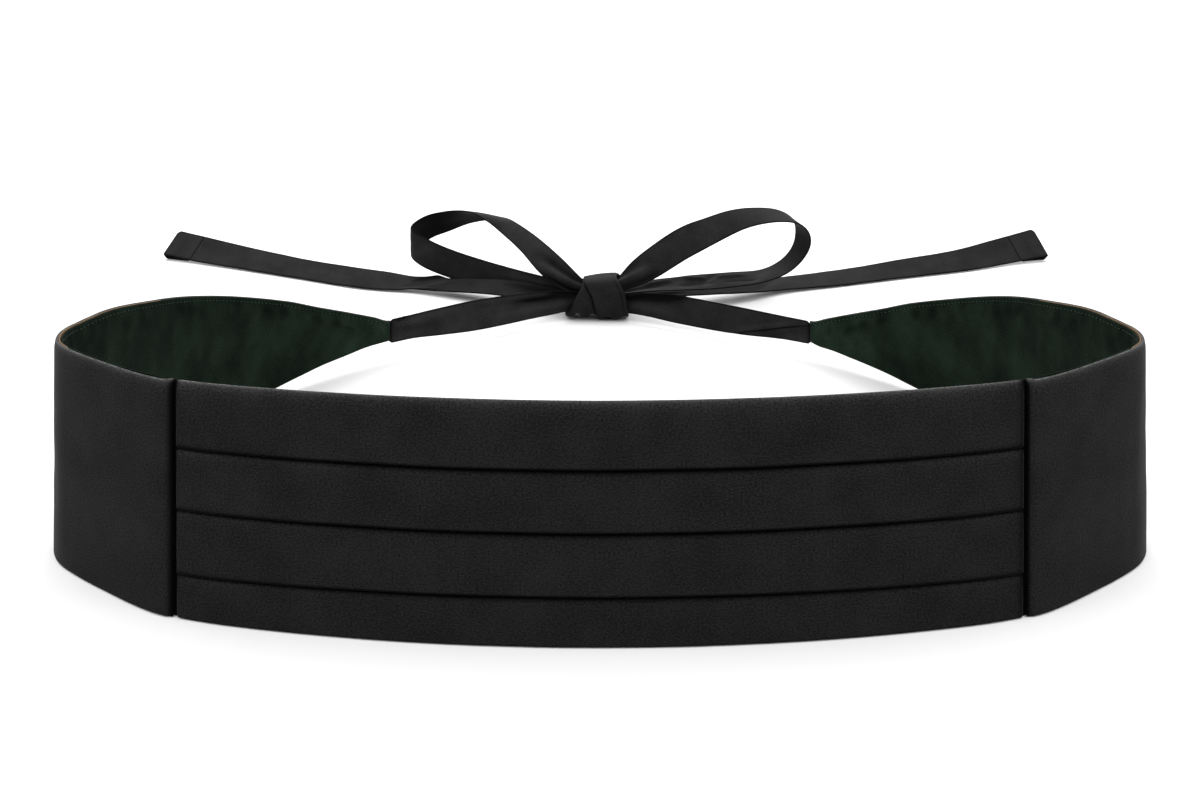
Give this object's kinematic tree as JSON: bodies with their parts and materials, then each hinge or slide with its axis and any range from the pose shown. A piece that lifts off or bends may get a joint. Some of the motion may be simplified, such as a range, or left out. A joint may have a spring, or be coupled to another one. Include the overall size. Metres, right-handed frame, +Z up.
{
  "type": "pleated cummerbund",
  "caption": "Pleated waist sash with plain lined side panels that taper to ribbon ties, tied at the back in a bow with long free ends.",
  "frame": {"origin": "on the floor, at the centre of the whole piece's box", "axes": "+X to the right of someone facing the pleated front, along the longest extent; +Y from the front towards the bow; +Z up, along the shortest extent"},
  "size_m": [0.7164, 0.6148, 0.0998],
  "materials": {
    "shell": "matte black weave",
    "lining": "dark green lining, soft sheen",
    "interlining": "undyed stiffening canvas",
    "ties": "matte black weave"
  },
  "bodies": {
    "root": {"pleated_front": "shell", "lining_front": "lining", "side_panel_left": "shell", "side_panel_right": "shell", "interlining_left": "interlining", "interlining_right": "interlining", "lining_left": "lining", "lining_right": "lining", "tie_left": "ties", "tie_right": "ties", "bow_loop_left": "ties", "bow_loop_right": "ties", "tail_left": "ties", "tail_right": "ties", "tail_hem_left": "ties", "tail_hem_right": "ties", "knot_under_wrap": "ties", "knot_over_wrap": "ties"}
  },
  "joints": []
}
